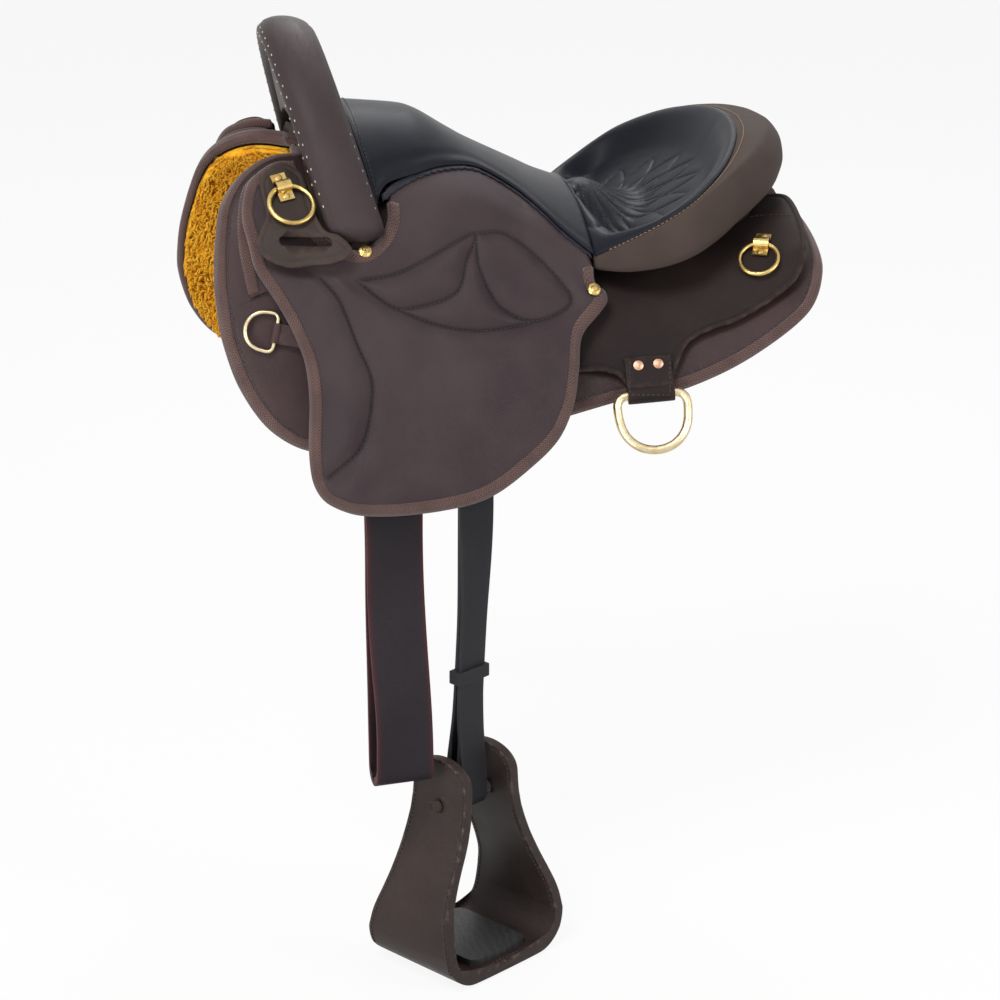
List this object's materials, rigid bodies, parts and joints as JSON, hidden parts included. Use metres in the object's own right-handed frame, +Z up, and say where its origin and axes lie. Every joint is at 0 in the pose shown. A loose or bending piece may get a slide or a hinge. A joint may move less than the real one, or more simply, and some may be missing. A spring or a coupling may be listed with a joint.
{
  "type": "endurance saddle",
  "caption": "Endurance saddle with a high padded pommel, deep quilted seat, fleece-lined panels, padded flaps, girth strap and a leather stirrup on its strap.",
  "frame": {"origin": "in the horse's middle plane, on its back below the seat, where the panels bear on it", "axes": "-X to the horse's head, +X to its tail, -Y to its near (left) side, +Z up"},
  "size_m": [0.536, 0.4844, 0.8056],
  "materials": {
    "brown_leather": "oiled brown skirting leather, softly worn",
    "black_leather": "smooth black seat leather, half gloss",
    "strap_leather": "dark harness leather",
    "fleece_pile": "thick golden fleece",
    "brass": "polished brass, lightly tarnished",
    "copper": "copper, dull polish",
    "steel": "plain steel",
    "tree_wood": "sealed laminated wood",
    "tread_rubber": "matt black rubber"
  },
  "bodies": {
    "saddle": {"panel_near": "brown_leather", "panel_far": "brown_leather", "fleece_near": "fleece_pile", "fleece_far": "fleece_pile", "tree_bar_near": "tree_wood", "tree_bar_far": "tree_wood", "front_skirt_near": "brown_leather", "front_skirt_far": "brown_leather", "rigging_skirt_near": "brown_leather", "rigging_skirt_far": "brown_leather", "seat_front": "black_leather", "ground_seat": "tree_wood", "seat_dish": "black_leather", "cantle": "brown_leather", "pommel_roll": "brown_leather", "tree_fork": "tree_wood", "pommel_facing": "brown_leather", "flap_top_near": "brown_leather", "flap_top_far": "brown_leather", "front_screw_near": "brass", "front_screw_far": "brass", "rear_screw_near": "brass", "rear_screw_far": "brass", "slot_plate_near": "brown_leather", "slot_plate_far": "brown_leather", "front_clip_near": "brass", "front_clip_far": "brass", "rear_clip_near": "brass", "rear_clip_far": "brass", "dee_tab_near": "brown_leather", "dee_tab_far": "brown_leather", "front_rivet_near": "copper", "front_rivet_far": "copper", "rear_rivet_near": "copper", "rear_rivet_far": "copper", "panel_tab_near": "brown_leather", "panel_tab_far": "brown_leather"},
    "front_ring_near": {"front_ring_near": "brass"},
    "front_ring_far": {"front_ring_far": "brass"},
    "rear_ring_near": {"rear_ring_near": "brass"},
    "rear_ring_far": {"rear_ring_far": "brass"},
    "panel_dee_near": {"panel_dee_near": "brass"},
    "panel_dee_far": {"panel_dee_far": "brass"},
    "rear_dee_near": {"rear_dee_near": "brass"},
    "rear_dee_far": {"rear_dee_far": "brass"},
    "flap_near": {"flap_near": "brown_leather"},
    "flap_far": {"flap_far": "brown_leather"},
    "girth_rig_near": {"girth_rigging_near": "brown_leather", "girth_dee_near": "brass", "girth_strap_near": "strap_leather"},
    "girth_rig_far": {"girth_rigging_far": "brown_leather", "girth_dee_far": "brass"},
    "leather_near": {"hanger_near": "steel", "stirrup_leather_near": "strap_leather"},
    "hanger_far": {"hanger_far": "steel"},
    "keeper": {"keeper_near": "strap_leather"},
    "stirrup": {"stirrup_near": "brown_leather", "stirrup_bolt_near": "steel", "tread_near": "tread_rubber"},
    "roller": {"stirrup_roller_near": "steel"}
  },
  "joints": [
    {"name": "front_ring_near_swing", "type": "hinge", "parent": "saddle", "child": "front_ring_near", "pos_m": [-0.21432, -0.10672, 0.10278], "axis": [-0.9557, -0.2622, -0.1335], "range_deg": [0, 105]},
    {"name": "front_ring_far_swing", "type": "hinge", "parent": "saddle", "child": "front_ring_far", "pos_m": [-0.21432, 0.10672, 0.10278], "axis": [0.9557, -0.2622, 0.1335], "range_deg": [0, 105]},
    {"name": "rear_ring_near_swing", "type": "hinge", "parent": "saddle", "child": "rear_ring_near", "pos_m": [0.19848, -0.11387, 0.03359], "axis": [-0.9062, 0.4228, -0.002], "range_deg": [0, 105]},
    {"name": "rear_ring_far_swing", "type": "hinge", "parent": "saddle", "child": "rear_ring_far", "pos_m": [0.19848, 0.11387, 0.03359], "axis": [0.9062, 0.4228, 0.002], "range_deg": [0, 105]},
    {"name": "panel_dee_near_swing", "type": "hinge", "parent": "saddle", "child": "panel_dee_near", "pos_m": [-0.227, -0.13995, -0.01463], "axis": [0.2402, 0.2659, 0.9336], "range_deg": [0, 85]},
    {"name": "panel_dee_far_swing", "type": "hinge", "parent": "saddle", "child": "panel_dee_far", "pos_m": [-0.227, 0.13995, -0.01463], "axis": [-0.2402, 0.2659, -0.9336], "range_deg": [0, 85]},
    {"name": "rear_dee_near_swing", "type": "hinge", "parent": "saddle", "child": "rear_dee_near", "pos_m": [0.088, -0.17402, -0.07635], "axis": [-0.991, 0.1122, -0.073], "range_deg": [0, 85]},
    {"name": "rear_dee_far_swing", "type": "hinge", "parent": "saddle", "child": "rear_dee_far", "pos_m": [0.088, 0.17402, -0.07635], "axis": [0.991, 0.1122, 0.073], "range_deg": [0, 85]},
    {"name": "flap_near_lift", "type": "hinge", "parent": "saddle", "child": "flap_near", "pos_m": [-0.0925, -0.1525, 0.01491], "axis": [-0.9924, -0.0014, 0.1231], "range_deg": [0, 60]},
    {"name": "flap_far_lift", "type": "hinge", "parent": "saddle", "child": "flap_far", "pos_m": [-0.0925, 0.1525, 0.01491], "axis": [0.9924, -0.0014, -0.1231], "range_deg": [0, 60]},
    {"name": "girth_rig_near_swing", "type": "hinge", "parent": "saddle", "child": "girth_rig_near", "pos_m": [-0.137, -0.1133, 0.04946], "axis": [0, -0.7775, 0.6288], "range_deg": [-5, 0]},
    {"name": "girth_rig_far_swing", "type": "hinge", "parent": "saddle", "child": "girth_rig_far", "pos_m": [-0.137, 0.1133, 0.04946], "axis": [0, -0.7775, -0.6288], "range_deg": [-5, 5]},
    {"name": "leather_near_swing", "type": "hinge", "parent": "saddle", "child": "leather_near", "pos_m": [-0.07398, -0.09748, 0.04273], "axis": [0, -0.6143, 0.7891], "range_deg": [0, 10]},
    {"name": "hanger_far_swing", "type": "hinge", "parent": "saddle", "child": "hanger_far", "pos_m": [-0.07398, 0.09748, 0.04273], "axis": [0, -0.6143, -0.7891], "range_deg": [-8, 8]},
    {"name": "keeper_slide", "type": "slide", "parent": "leather_near", "child": "keeper", "axis": [0, 0, 1], "range_m": [0, 0.015]},
    {"name": "stirrup_swing", "type": "hinge", "parent": "leather_near", "child": "stirrup", "pos_m": [-0.0755, -0.186, -0.43], "axis": [0.8192, 0.5736, 0], "range_deg": [-30, 30]},
    {"name": "roller_spin", "type": "hinge", "parent": "stirrup", "child": "roller", "pos_m": [-0.0755, -0.186, -0.43], "axis": [0.8192, 0.5736, 0], "range_deg": [-180, 180]}
  ]
}
